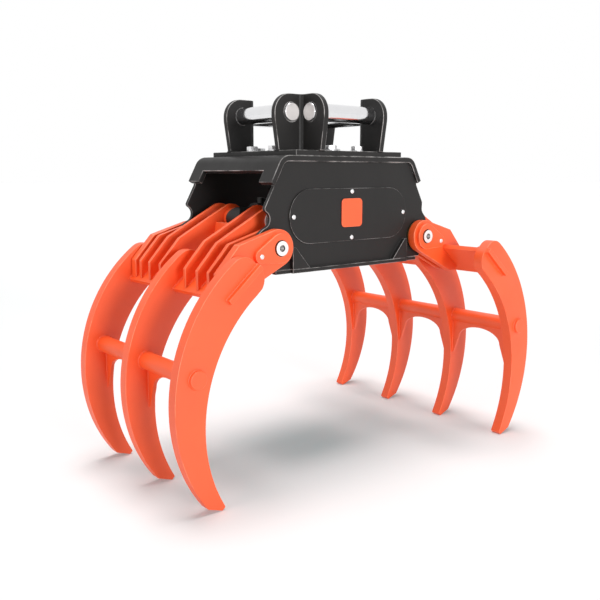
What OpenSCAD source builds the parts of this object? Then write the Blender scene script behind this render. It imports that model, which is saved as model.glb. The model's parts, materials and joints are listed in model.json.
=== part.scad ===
// Log grab for an excavator: two curved tine jaws that hang from a boxed housing and close on one
// hydraulic cylinder. Sizes are in millimetres. X runs across the jaws, Y along the pivots, Z up,
// and the tine tips stand on Z = 0 in the open pose.

/* [Housing] */
// Distance from the middle of the housing to each jaw pivot
pivot_x = 294; // [270:1:320]
// Height of the jaw pivots above the tine tips
pivot_z = 662; // [640:1:690]
// Half the width over the outer faces of the two side plates
side_y = 200; // [190:1:206]
// Thickness of a side plate
side_t = 12; // [8:1:16]
// Height of the lower edge of the side plates
side_low = 597; // [585:1:600]
// Height of the top face of the cover
cover_top = 906; // [880:1:930]
// Thickness of the cover plate
cover_t = 16; // [10:1:20]
// Where the cover bends down towards its ends
bend_x = 259.5; // [245:0.5:270]
// Outer radius of that bend
bend_r = 40; // [26:1:48]
// End of the sloping flap of the cover
flap_x = 299; // [292:1:306]
// How far the end of the flap hangs below the top of the cover
flap_drop = 72; // [56:1:91]
// Half the width of the cut-out in the flap
flap_cut_y = 150; // [120:1:165]
// Where that cut-out starts, measured down the slope from the bend
flap_cut = 47; // [42:1:60]
// Thickness of the bottom plate
floor_t = 11; // [8:1:16]
// Radius of the lower lobe of a side plate, round the pivot
lobe_r = 56; // [54:1:62]

/* [Headstock] */
// Thickness of the headstock base plate
base_t = 15; // [10:1:20]
// Half the length of the base plate across the jaws
base_x = 209; // [200:1:215]
// Half the width of the base plate along the pivots
base_y = 202; // [195:1:205]
// Outer face of each lug arm, from the middle
lug_face = 125; // [115:1:128]
// Thickness of a lug arm
lug_t = 17; // [14:1:22]
// Outer radius of the bend in a lug
lug_bend = 28; // [25:1:32]
// Radius of a hitch pin
hitch_r = 25; // [22:0.5:30]
// Distance of a hitch pin from the middle
hitch_off = 162; // [150:1:170]
// Height of the hitch pins
hitch_z = 1027; // [1010:1:1040]

/* [Jaws] */
// Spacing of the tines in one jaw
pitch = 254; // [240:1:262]
// Thickness of a tine
tine_t = 32; // [24:1:36]
// Radius of the outer edge of a tine
tine_out_r = 445; // [442:1:448]
// Width of a tine at its widest
tine_wide = 113.8; // [105:0.1:120]
// How far the centre of the inner edge is set back from that of the outer edge
tine_ease = 89.8; // [80:0.1:100]
// Radius of the pivot bosses on the arm plates
boss_r = 50; // [47:0.5:54]
// Thickness of the outer arm plates
arm_t = 25; // [18:1:26]
// Thickness of the inner arm plates and the lever plates
plate_t = 12; // [10:1:14]
// Thickness of the cross plate
cross_t = 15; // [10:1:18]
// Radius of the tie bar
bar_r = 24; // [20:1:26]
// Thickness of the scalloped webs
web_t = 10; // [6:1:14]
// Radius of the pivot pins and the lever pins
pin_r = 20; // [18:0.5:21]

/* [Cylinder] */
// Height of the cylinder axis in the open pose
cyl_z = 727; // [720:1:732]
// Distance from the middle to each lever pin in the open pose
lever_x = 240; // [236:1:244]
// Outer radius of the barrel
barrel_r = 45; // [42:0.5:46]
// Radius of the bore
bore_r = 35; // [30:0.5:37]
// Radius of the rod
rod_r = 20; // [16:0.5:22]

/* [Hidden] */
run = 0.05;
gap = 0.3;
arm_out = side_y + 32;
arm_in = arm_out - arm_t;
side_in = side_y - side_t;
in_arm = side_in - 2;
lev_a = 60;
lev_b = 121;
floor_x = 284;
keep_t = 12;
keep_r = 40;
keep_small = 19;
keep_x = 360;
keep_z = 644;
pin_end = arm_out + keep_t + 3.5;
crown_a = 46.35;
crown = [507.1, 604];
out_c = crown - tine_out_r * [cos(crown_a), sin(crown_a)];
in_c = out_c - tine_ease * [cos(crown_a), sin(crown_a)];
tine_in_r = tine_out_r + tine_ease - tine_wide;
root_r = 45;
root_c = out_c + (tine_out_r - root_r) * [cos(54), sin(54)];
bar_c = out_c + (tine_out_r - 55.9) * [cos(11.7), sin(11.7)];
bar_x = bar_c[0];
bar_z = bar_c[1];
cross_a = 40;
cross_len = 128;
cross_x = 385;
cross_z = 619;
port_x = 40;
cap_port = -178;
port_top = 26;
port_deep = 14;
pipe_r = 6;
pipe_up = barrel_r + 7;
bar_over = 10;
rib_over = 15;
under = cover_top - cover_t;
flap_z = cover_top - flap_drop;
base_z = cover_top + base_t;
orange = [1, 0.33, 0.09];
black = [0.09, 0.09, 0.09];
steel = [0.78, 0.79, 0.8];
bronze = [0.72, 0.52, 0.25];

pivot = [pivot_x, pivot_z];

function head(d) = atan2(d[1], d[0]);
function arc(c, r, a, b, n) = [for (i = [0:n]) c + r * [cos(a + (b - a) * i / n), sin(a + (b - a) * i / n)]];

// A plate of the given outline in X and Z, from y0 to y1
module slab(y0, y1) {
  translate([0, y1, 0])
    rotate([90, 0, 0])
      linear_extrude(y1 - y0) children();
}

module y_rod(x, z, r, y0, y1, n = 48) {
  translate([x, y1, z])
    rotate([90, 0, 0])
      cylinder(r = r, h = y1 - y0, $fn = n);
}

module x_rod(r, x0, x1, n = 64) {
  translate([x0, 0, cyl_z])
    rotate([0, 90, 0])
      cylinder(r = r, h = x1 - x0, $fn = n);
}

module both_y() {
  children();
  mirror([0, 1, 0]) children();
}

module both_x() {
  children();
  mirror([1, 0, 0]) children();
}

module left() {
  mirror([1, 0, 0]) children();
}

// Housing

slope = atan2(cover_top - flap_z, flap_x - bend_x);
bend_c = [bend_x - bend_r * tan(slope / 2), cover_top - bend_r];
flap_in = [flap_x - cover_t * sin(slope), flap_z - cover_t * cos(slope)];

// Middle of the notch above the pivot lobe and of the corner above the notch, from the pivot
notch = [28, 74.4];
corner = [12.2, 103];
notch_r = norm(notch) - lobe_r;
corner_r = norm(corner - notch) - notch_r;

function half_side() = concat(
  [[0, side_low], [pivot_x + 8, side_low]],
  arc(pivot, lobe_r, -62, head(notch), 16),
  arc(pivot + notch, notch_r, head(notch) + 180, head(corner - notch), 16),
  arc(pivot + corner, corner_r, head(corner - notch) - 180, 90 - slope, 6),
  [flap_in - [0, 4], flap_in],
  arc(bend_c, bend_r - cover_t, 90 - slope, 90, 8),
  [[0, under]]);

function flip(p) = [for (i = [len(p) - 1:-1:0]) [-p[i][0], p[i][1]]];

module stadium(r) {
  translate([-158, 739.5]) circle(r = r, $fn = 64);
  translate([158, 739.5]) circle(r = r, $fn = 64);
  translate([-158, 739.5 - r]) square([316, 2 * r]);
}

module screw_spots() {
  for (p = [[0, 66.5], [0, -66.5], [220, 0], [-220, 0]])
    translate([p[0], 0, 739.5 + p[1]]) children();
}

module side_plate() {
  difference() {
    slab(side_in, side_y) {
      polygon(half_side());
      polygon(flip(half_side()));
    }
    slab(side_in - 1, side_y + 1) stadium(52);
    both_x() y_rod(pivot_x, pivot_z, pin_r + 7 + run, side_in - 1, side_y + 1);
    screw_spots() y_rod(0, 0, 4 + run, side_in - 1, side_y + 1, 24);
  }
}

module front_side_plate() {
  color(black) mirror([0, 1, 0]) side_plate();
}

module rear_side_plate() {
  color(black) side_plate();
}

function cover_top_line() = concat(
  arc(bend_c, bend_r, 90, 90 - slope, 10),
  [[flap_x, flap_z], flap_in],
  arc(bend_c, bend_r - cover_t, 90 - slope, 90, 8));

module top_cover() {
  color(black) difference() {
    slab(-side_y - 7, side_y + 7)
      polygon(concat(flip(cover_top_line()), cover_top_line()));
    both_x() translate([bend_x, 0, cover_top]) rotate([0, slope, 0])
      translate([flap_cut, -flap_cut_y, -cover_t - 5]) cube([80, 2 * flap_cut_y, cover_t + 10]);
    translate([0, 0, under - 1]) cylinder(r = 55, h = cover_t + 2, $fn = 64);
    bolt_spots() translate([0, 0, under - 1]) cylinder(r = 10 + run, h = cover_t + 2, $fn = 32);
  }
}

module bottom_plate() {
  color(black) translate([0, 0, side_low - floor_t]) difference() {
    union() {
      translate([-floor_x, -side_y - 5, 0]) cube([2 * floor_x, 2 * side_y + 10, floor_t]);
      translate([-231, -side_y - 15, 0]) cube([462, 2 * side_y + 30, floor_t]);
    }
    both_x() translate([224, -side_in, -1]) cube([80, 2 * side_in, floor_t + 2]);
    for (x = [-110, 110]) translate([x, 0, -1]) cylinder(r = 40, h = floor_t + 2, $fn = 48);
  }
}

module stop_gussets() {
  color(black) both_x() both_y()
    slab(side_y, side_y + 15)
      polygon([[231, side_low], [231, 658], [221, 658], [168, side_low]]);
}

module access_cover() {
  difference() {
    slab(side_y, side_y + 4) stadium(76);
    screw_spots() y_rod(0, 0, 4 + run, side_y - 1, side_y + 5, 24);
  }
}

module front_access_cover() {
  color(black) mirror([0, 1, 0]) access_cover();
}

module rear_access_cover() {
  color(black) access_cover();
}

module access_screws() {
  color(steel) both_y() screw_spots() {
    y_rod(0, 0, 6.5, side_y + 4, side_y + 7, 32);
    y_rod(0, 0, 4, side_in - 4, side_y + 4.5, 24);
  }
}

module badge_plate() {
  color(orange) slab(-side_y - 7, -side_y - 4)
    polygon(concat(
      arc([28, 774], 12, 0, 90, 6), arc([-30, 774], 12, 90, 180, 6),
      arc([-30, 716], 12, 180, 270, 6), arc([28, 716], 12, 270, 360, 6)));
}

module pivot_bushes() {
  color(bronze) both_x() both_y() difference() {
    union() {
      y_rod(pivot_x, pivot_z, pin_r + 7, in_arm + 0.5, side_y + 1);
      y_rod(pivot_x, pivot_z, 46, side_y, arm_in - 0.5);
    }
    y_rod(pivot_x, pivot_z, pin_r + run, side_in - 10, arm_in + 10);
  }
}

// Headstock

module bolt_spots() {
  for (s = [-52, 52]) {
    for (t = [-168, 168]) {
      translate([s, t, 0]) children();
      translate([t, s, 0]) children();
    }
  }
}

module headstock_base() {
  color(black) difference() {
    translate([-base_x, -base_y, cover_top]) cube([2 * base_x, 2 * base_y, base_t]);
    translate([0, 0, cover_top - 1]) cylinder(r = 55, h = base_t + 2, $fn = 64);
    bolt_spots() translate([0, 0, cover_top - 1]) cylinder(r = 10 + run, h = base_t + 2, $fn = 32);
  }
}

module headstock_bolts() {
  color(steel) bolt_spots() {
    translate([0, 0, under - 16]) cylinder(r = 10, h = cover_t + base_t + 17, $fn = 32);
    translate([0, 0, base_z]) cylinder(r = 18.5, h = 3, $fn = 32);
    translate([0, 0, base_z + 2.5]) cylinder(r = 17.3, h = 13, $fn = 6);
    translate([0, 0, under - 15]) cylinder(r = 17.3, h = 15, $fn = 6);
  }
}

// What is cut away at the end of a lug arm along +X, and the hole for its hitch pin
module lug_cut() {
  slab(-lug_face - 1, lug_t - lug_face + 1)
    polygon(concat(
      [[205.4, base_z - 10], [hitch_off + 59, hitch_z - 16]],
      arc([hitch_off + 5, hitch_z - 4], 54, 0, 90, 12),
      [[hitch_off + 5, hitch_z + 60], [240, hitch_z + 60], [240, base_z - 10]]));
  y_rod(hitch_off, hitch_z, hitch_r + run, -lug_face - 1, lug_t - lug_face + 1);
  translate([hitch_off, -lug_face - 0.01, hitch_z])
    rotate([-90, 0, 0]) cylinder(r1 = hitch_r + 2, r2 = hitch_r, h = 2, $fn = 48);
}

// The lug at +X and -Y, one plate bent through a right angle
module lug() {
  inside = lug_face - lug_t;
  bend = [inside + lug_bend, -inside - lug_bend];
  color(black) difference() {
    translate([0, 0, base_z]) linear_extrude(hitch_z + 50 - base_z)
      polygon(concat(
        [[226, -inside]], arc(bend, lug_bend, 90, 180, 10), [[inside, -226], [lug_face, -226]],
        arc(bend, lug_bend - lug_t, 180, 90, 8), [[226, -lug_face]]));
    lug_cut();
    mirror([1, 1, 0]) lug_cut();
  }
}

module lug_front_right() {
  lug();
}

module lug_front_left() {
  mirror([1, 0, 0]) lug();
}

module lug_rear_right() {
  mirror([0, 1, 0]) lug();
}

module lug_rear_left() {
  mirror([1, 0, 0]) mirror([0, 1, 0]) lug();
}

// A hitch pin along Y, at +X
module hitch_pin() {
  half = lug_face + 5;
  color(steel) translate([hitch_off, 0, hitch_z]) rotate([90, 0, 0]) {
    translate([0, 0, 1.5 - half]) cylinder(r = hitch_r, h = 2 * half - 3, $fn = 64);
    translate([0, 0, half - 1.5]) cylinder(r1 = hitch_r, r2 = hitch_r - 1.5, h = 1.5, $fn = 64);
    translate([0, 0, -half]) cylinder(r1 = hitch_r - 1.5, r2 = hitch_r, h = 1.5, $fn = 64);
  }
}

module hitch_pin_right() {
  hitch_pin();
}

module hitch_pin_left() {
  rotate([0, 0, 180]) hitch_pin();
}

module hitch_pin_front() {
  rotate([0, 0, -90]) hitch_pin();
}

module hitch_pin_rear() {
  rotate([0, 0, 90]) hitch_pin();
}

// Jaws, drawn on the +X side

// Angle at which an edge of a tine comes down to height z
function low(c, r, z) = -asin((c[1] - z) / r);
tip_x = in_c[0] + tine_in_r * cos(low(in_c, tine_in_r, 13)) + 7;

// Outline of a tine, grown by g
function tine_line(g) = concat(
  [[tip_x - 9, 8], [tip_x, 0 - g]],
  arc(out_c, tine_out_r + g, low(out_c, tine_out_r, 15), 54, 40),
  arc(root_c, root_r + g, 54, 126, 8),
  arc(root_c - [19, 15.5], root_r + g, 126, 214, 10),
  arc(in_c, tine_in_r - g, 52.5, low(in_c, tine_in_r, 13), 34));

module cross_cut(g) {
  translate([cross_x, cross_z])
    rotate(-cross_a)
      translate([-g, -g]) square([cross_len + 2 * g, cross_t + 2 * g]);
}

module tine(y) {
  color(orange) difference() {
    slab(y - tine_t / 2, y + tine_t / 2) difference() {
      polygon(tine_line(0));
      cross_cut(0.1);
    }
    y_rod(bar_x, bar_z, bar_r + run, y - tine_t, y + tine_t);
  }
}

// Angle between the line to a far point and the radius to its tangent point
function lean(d, r) = acos(r / norm(d));

kink = [422, 677];
heel = [426, 542];
lever = [lever_x, cyl_z];

// Where a line from far leaves a circle, on its upper (side = 1) or lower (side = -1) side
function tangent(c, r, far, side) = c + r * [cos(head(far - c) + side * lean(far - c, r)),
  sin(head(far - c) + side * lean(far - c, r))];

module arm_outline() {
  translate(pivot) circle(r = boss_r, $fn = 96);
  polygon([pivot, tangent(pivot, boss_r, heel, -1), heel, [452, 541], [463, 553.5], [486, 553],
    [486, 607], kink, tangent(pivot, boss_r, kink, 1)]);
}

module arm(y0, y1, bolted) {
  color(orange) difference() {
    slab(y0, y1) difference() {
      arm_outline();
      cross_cut(0.1);
    }
    y_rod(pivot_x, pivot_z, pin_r + run, y0 - 1, y1 + 1);
    if (bolted) y_rod(keep_x, keep_z, 4 + run, y0 - 1, y1 + 1, 24);
  }
}

toe = [372, 622];
lever_r = 42;

module lever_outline() {
  translate(lever) circle(r = lever_r, $fn = 96);
  polygon([lever, tangent(lever, lever_r, toe, -1), toe, [397, 597], [470, 545], [486, 545],
    [486, 607], kink, tangent(lever, lever_r, kink, 1)]);
}

module lever_plate(y0, y1, over_tine) {
  color(orange) difference() {
    slab(y0, y1) difference() {
      lever_outline();
      cross_cut(0.1);
      translate([cross_x, cross_z]) rotate(-cross_a)
        translate([14, -60]) square([200, 61]);
      if (over_tine) polygon(tine_line(0.1));
    }
    y_rod(lever_x, cyl_z, pin_r + run, y0 - 1, y1 + 1);
  }
}

module outer_levers(over_tine) {
  both_y() lever_plate(lev_b, lev_b + plate_t, over_tine);
}

// The inner pair carries the bosses that centre the cylinder eye
module inner_levers() {
  both_y() {
    lever_plate(lev_a, lev_a + plate_t, false);
    color(orange) difference() {
      y_rod(lever_x, cyl_z, 31, 33.4, lev_a + 0.5);
      y_rod(lever_x, cyl_z, pin_r + run, 30, lev_a + 5);
    }
  }
}

module cross_plate(half) {
  color(orange) slab(-half, half) cross_cut(0);
}

module tie_bar(half) {
  color(orange) {
    y_rod(bar_x, bar_z, bar_r, 1.5 - half, half - 1.5, 56);
    both_y() translate([bar_x, half - 1.51, bar_z]) rotate([-90, 0, 0])
      cylinder(r1 = bar_r, r2 = bar_r - 1.5, h = 1.5, $fn = 56);
  }
}

// One scalloped web between two tines, its middle at y
module web(y) {
  w = (pitch - tine_t) / 2 - 0.1;
  color(orange) difference() {
    translate([bar_x - 14, y - w, bar_z - 133]) cube([web_t, 2 * w, 120]);
    translate([bar_x - 15, y, bar_z]) rotate([90, 0, 90]) linear_extrude(web_t + 2)
      polygon(concat([[4 - w, -134], [w - 4, -134]],
        [for (a = [0:10:180]) [(w - 26) * cos(a), 44 * sin(a) - 73]]));
    y_rod(bar_x, bar_z, bar_r + run, y - w - 1, y + w + 1, 56);
    translate([bar_x - 30, y - w - 1, bar_z]) cube([60, 2 * w + 2, 60]);
  }
}

module lever_web() {
  color(orange) slab(0.1 - lev_a, lev_a - 0.1) polygon([[288, 717], [300, 717], [311, 660], [299, 660]]);
}

module pivot_pins() {
  color(steel) both_y() difference() {
    union() {
      y_rod(pivot_x, pivot_z, pin_r, in_arm - plate_t - 4, pin_end, 64);
      y_rod(pivot_x, pivot_z, pin_r + 6, arm_out, arm_out + 3.5, 64);
    }
    difference() {
      y_rod(pivot_x, pivot_z, 9, pin_end - 5, pin_end + 1, 32);
      y_rod(pivot_x, pivot_z, 5, pin_end - 6, pin_end - 1, 6);
    }
  }
}

// Two discs and the band between their outer tangents
module keeper_outline() {
  far = [keep_x, keep_z];
  aim = head(far - pivot);
  open = acos((keep_r - keep_small) / norm(far - pivot));
  translate(pivot) circle(r = keep_r, $fn = 96);
  translate(far) circle(r = keep_small, $fn = 64);
  polygon([for (s = [[pivot, keep_r, 1], [far, keep_small, 1], [far, keep_small, -1], [pivot, keep_r, -1]])
    s[0] + s[1] * [cos(aim + s[2] * open), sin(aim + s[2] * open)]]);
}

module keepers() {
  color(orange) both_y() difference() {
    slab(arm_out, arm_out + keep_t) keeper_outline();
    y_rod(pivot_x, pivot_z, pin_r + 2, arm_out - 1, arm_out + keep_t + 1, 64);
    y_rod(pivot_x, pivot_z, pin_r + 6.3, arm_out - 1, arm_out + 3.8, 64);
    y_rod(keep_x, keep_z, 4 + run, arm_out - 1, arm_out + keep_t + 1, 24);
  }
}

module keeper_bolts() {
  color(steel) both_y() {
    y_rod(keep_x, keep_z, 6.5, arm_out + keep_t, arm_out + keep_t + 3, 32);
    y_rod(keep_x, keep_z, 4, arm_out - 14, arm_out + keep_t + 0.5, 24);
  }
}

module lever_pin() {
  end = lev_b + plate_t;
  color(steel) {
    y_rod(lever_x, cyl_z, pin_r, -end - 4, end + 4, 64);
    both_y() y_rod(lever_x, cyl_z, pin_r + 6, end + gap, end + 4, 64);
  }
}

module left_tine_front() {
  left() tine(-pitch);
}

module left_tine_middle() {
  left() tine(0);
}

module left_tine_rear() {
  left() tine(pitch);
}

module left_outer_arm_front() {
  left() arm(-arm_out, -arm_in, true);
}

module left_outer_arm_rear() {
  left() arm(arm_in, arm_out, true);
}

module left_inner_arms() {
  left() both_y() arm(in_arm - plate_t, in_arm, false);
}

module left_outer_levers() {
  left() outer_levers(false);
}

module left_inner_levers() {
  left() inner_levers();
}

module left_cross_plate() {
  left() cross_plate(pitch + tine_t / 2 + rib_over);
}

module left_tie_bar() {
  left() tie_bar(pitch + tine_t / 2 + bar_over);
}

module left_webs() {
  left() both_y() web(pitch / 2);
}

module left_lever_web() {
  left() lever_web();
}

module left_pivot_pins() {
  left() pivot_pins();
}

module left_keepers() {
  left() keepers();
}

module left_keeper_bolts() {
  left() keeper_bolts();
}

module left_lever_pin() {
  left() lever_pin();
}

module right_tine_front() {
  tine(-1.5 * pitch);
}

module right_tine_mid_front() {
  tine(-0.5 * pitch);
}

module right_tine_mid_rear() {
  tine(0.5 * pitch);
}

module right_tine_rear() {
  tine(1.5 * pitch);
}

module right_outer_arm_front() {
  arm(-arm_out, -arm_in, true);
}

module right_outer_arm_rear() {
  arm(arm_in, arm_out, true);
}

module right_inner_arms() {
  both_y() arm(in_arm - plate_t, in_arm, false);
}

module right_outer_levers() {
  outer_levers(true);
}

module right_inner_levers() {
  inner_levers();
}

module right_cross_plate() {
  cross_plate(1.5 * pitch + tine_t / 2 + rib_over);
}

module right_tie_bar() {
  tie_bar(1.5 * pitch + tine_t / 2 + bar_over);
}

module right_webs() {
  web(0);
  both_y() web(pitch);
}

module right_lever_web() {
  lever_web();
}

module right_pivot_pins() {
  pivot_pins();
}

module right_keepers() {
  keepers();
}

module right_keeper_bolts() {
  keeper_bolts();
}

module right_lever_pin() {
  lever_pin();
}

// Cylinder, its axis along X

module eye(x, r) {
  intersection() {
    y_rod(x, cyl_z, r, -33, 33, 64);
    x_rod(34, x - r - 1, x + r + 1);
  }
}

module barrel() {
  color(black) difference() {
    x_rod(barrel_r, -190, 120);
    x_rod(bore_r, -191, 121);
    for (x = [cap_port, port_x]) translate([x, 0, cyl_z]) cylinder(r = 4.5, h = 60, $fn = 24);
  }
}

module base_eye() {
  color(black) difference() {
    union() {
      eye(-lever_x, 41);
      x_rod(33, -lever_x, -200);
      x_rod(barrel_r, -202, -190);
      x_rod(bore_r - run, -191, -188.5);
    }
    y_rod(-lever_x, cyl_z, pin_r + run, -40, 40, 64);
  }
}

module gland() {
  color(black) difference() {
    union() {
      x_rod(bore_r - run, 88, 121);
      x_rod(barrel_r - 1, 120, 130);
    }
    x_rod(rod_r + run, 80, 140);
  }
}

// A boss on the barrel at x, with a drilled way up from height z0 to z1
module boss(x, r, top, z0, z1) {
  difference() {
    translate([x, 0, cyl_z + barrel_r - 15]) cylinder(r = r, h = top + 15, $fn = 40);
    x_rod(barrel_r + run, x - 20, x + 20);
    translate([x, 0, z0]) cylinder(r = 4.5, h = z1 - z0, $fn = 24);
  }
}

// A hose port: a boss with a threaded mouth
module port(x, z0) {
  difference() {
    boss(x, 15, port_top, z0, cyl_z + barrel_r + port_top);
    translate([x, 0, cyl_z + barrel_r + port_top - port_deep]) cylinder(r = 9, h = port_deep + 1, $fn = 40);
  }
}

module pipe_rod(r, x0, x1) {
  translate([0, 0, pipe_up]) x_rod(r, x0, x1, 40);
}

// Both hose ports stand under the hose hole; a pipe brings the oil from one of them to the closed end
module port_bosses() {
  low = cyl_z + pipe_up - 5;
  color(black) {
    port(port_x, cyl_z);
    difference() {
      port(-port_x, low);
      pipe_rod(pipe_r + run, -port_x - 16, -port_x - 10);
      pipe_rod(pipe_r - 2, -port_x - 12, -port_x);
    }
    difference() {
      boss(cap_port, 11, 15, cyl_z, cyl_z + pipe_up + 4);
      pipe_rod(pipe_r + run, cap_port + 7, cap_port + 12);
      pipe_rod(pipe_r - 2, cap_port, cap_port + 8);
    }
    difference() {
      pipe_rod(pipe_r, cap_port + 7 + run, -port_x - 10 - run);
      pipe_rod(pipe_r - 2, cap_port, -port_x);
    }
  }
}

module piston_rod() {
  color(steel) x_rod(rod_r, -155, 200);
}

module piston() {
  color(steel) difference() {
    x_rod(bore_r - run, -152, -125);
    x_rod(rod_r + run, -160, -120);
  }
}

module rod_eye() {
  color(black) difference() {
    union() {
      eye(lever_x, 38);
      x_rod(28, 185, lever_x);
    }
    y_rod(lever_x, cyl_z, pin_r + run, -40, 40, 64);
    x_rod(rod_r + run, 180, 200);
  }
}

front_side_plate();
rear_side_plate();
top_cover();
bottom_plate();
stop_gussets();
front_access_cover();
rear_access_cover();
access_screws();
badge_plate();
pivot_bushes();
headstock_base();
headstock_bolts();
lug_front_left();
lug_front_right();
lug_rear_left();
lug_rear_right();
hitch_pin_left();
hitch_pin_right();
hitch_pin_front();
hitch_pin_rear();
left_tine_front();
left_tine_middle();
left_tine_rear();
left_outer_arm_front();
left_outer_arm_rear();
left_inner_arms();
left_outer_levers();
left_inner_levers();
left_cross_plate();
left_tie_bar();
left_webs();
left_lever_web();
left_pivot_pins();
left_keepers();
left_keeper_bolts();
left_lever_pin();
right_tine_front();
right_tine_mid_front();
right_tine_mid_rear();
right_tine_rear();
right_outer_arm_front();
right_outer_arm_rear();
right_inner_arms();
right_outer_levers();
right_inner_levers();
right_cross_plate();
right_tie_bar();
right_webs();
right_lever_web();
right_pivot_pins();
right_keepers();
right_keeper_bolts();
right_lever_pin();
barrel();
base_eye();
gland();
port_bosses();
piston_rod();
piston();
rod_eye();
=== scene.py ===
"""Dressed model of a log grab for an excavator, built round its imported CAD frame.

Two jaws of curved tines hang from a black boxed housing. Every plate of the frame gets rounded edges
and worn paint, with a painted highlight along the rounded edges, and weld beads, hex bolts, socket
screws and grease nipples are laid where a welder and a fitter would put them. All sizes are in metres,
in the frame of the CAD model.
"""

from __future__ import annotations

import json
import logging
import math
from dataclasses import dataclass, replace
from enum import Enum
from typing import Any, Callable, Iterable, Sequence

import bmesh
import bpy
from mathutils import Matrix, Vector

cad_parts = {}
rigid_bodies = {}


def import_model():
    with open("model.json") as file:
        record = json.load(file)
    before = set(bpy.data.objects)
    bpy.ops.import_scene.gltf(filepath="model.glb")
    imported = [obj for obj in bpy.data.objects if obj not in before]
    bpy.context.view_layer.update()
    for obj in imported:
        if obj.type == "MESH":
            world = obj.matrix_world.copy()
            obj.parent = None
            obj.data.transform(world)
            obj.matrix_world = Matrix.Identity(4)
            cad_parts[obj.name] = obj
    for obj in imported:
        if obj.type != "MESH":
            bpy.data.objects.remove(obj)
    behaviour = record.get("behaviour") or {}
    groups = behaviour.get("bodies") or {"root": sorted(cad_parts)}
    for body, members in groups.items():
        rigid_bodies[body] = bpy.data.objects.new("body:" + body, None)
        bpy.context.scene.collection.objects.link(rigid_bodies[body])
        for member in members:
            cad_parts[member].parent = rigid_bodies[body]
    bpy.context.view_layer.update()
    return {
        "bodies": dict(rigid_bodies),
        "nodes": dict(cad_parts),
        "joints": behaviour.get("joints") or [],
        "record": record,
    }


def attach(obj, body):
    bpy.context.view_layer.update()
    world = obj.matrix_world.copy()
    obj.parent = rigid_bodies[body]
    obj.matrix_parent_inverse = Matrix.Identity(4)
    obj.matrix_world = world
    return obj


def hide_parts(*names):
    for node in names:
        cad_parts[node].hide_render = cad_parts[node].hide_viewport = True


LOG = logging.getLogger("log_grab")

Point = tuple[float, float, float]
Colour = tuple[float, float, float]
Pair = tuple[float, float]
Path = list[Point]

MERGE = 0.00001  # distance under which two corners of a CAD mesh are one
CREASE = math.radians(38)  # a bend past this shows as a crease
ROUNDED = math.radians(27)  # an outward bend past this gets a rounded edge
ROUND_PROFILE = 0.5  # shape of a rounded edge that is an arc
RIM_WEAR_AND_HIGHLIGHT = 0.45  # edge wear and painted highlight at the rims of a rounded edge, where it meets the flats
FRONT_AND_REAR = (("front", -1.0), ("rear", 1.0))  # word and sign of Y
PIVOT: Pair = (0.294, 0.662)  # X and Z of the right jaw's pivot
THREE_TINES = {"front": -0.254, "middle": 0.0, "rear": 0.254}  # Y of each tine
FOUR_TINES = {"front": -0.381, "mid_front": -0.127, "mid_rear": 0.127, "rear": 0.381}


class Side(Enum):
    """The jaw on each side of the housing, by the sign of its X."""

    LEFT = -1
    RIGHT = 1

    @property
    def word(self) -> str:
        """The word that starts the names of this jaw's nodes."""
        return self.name.lower()


@dataclass(frozen=True)
class Grain:
    """A noise pattern: how fine it is, its layers, and the band of its grey that is used."""

    scale: float
    detail: float = 2.0
    roughness: float = 0.5
    low: float = 0.3
    high: float = 0.7


CLOUDS = Grain(7.0, 3.0, 0.55, 0.35, 0.68)
SPECKS = Grain(260.0, 2.0, 0.6)
PATCHES = Grain(17.0, 4.0, 0.62, 0.40, 0.60)
GRIT = Grain(420.0, 2.0, 0.5, 0.3, 0.6)
SMEARS = Grain(13.0, 4.0, 0.6)
ORANGE_PEEL = Grain(520.0, 1.0, 0.4)
STAINS = Grain(38.0, 4.0, 0.6, 0.42, 0.74)
HANDLING = Grain(90.0, 3.0, 0.6)
TURNING = Grain(900.0, 1.0, 0.5)
WELDING_HAND = Grain(70.0)


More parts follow.
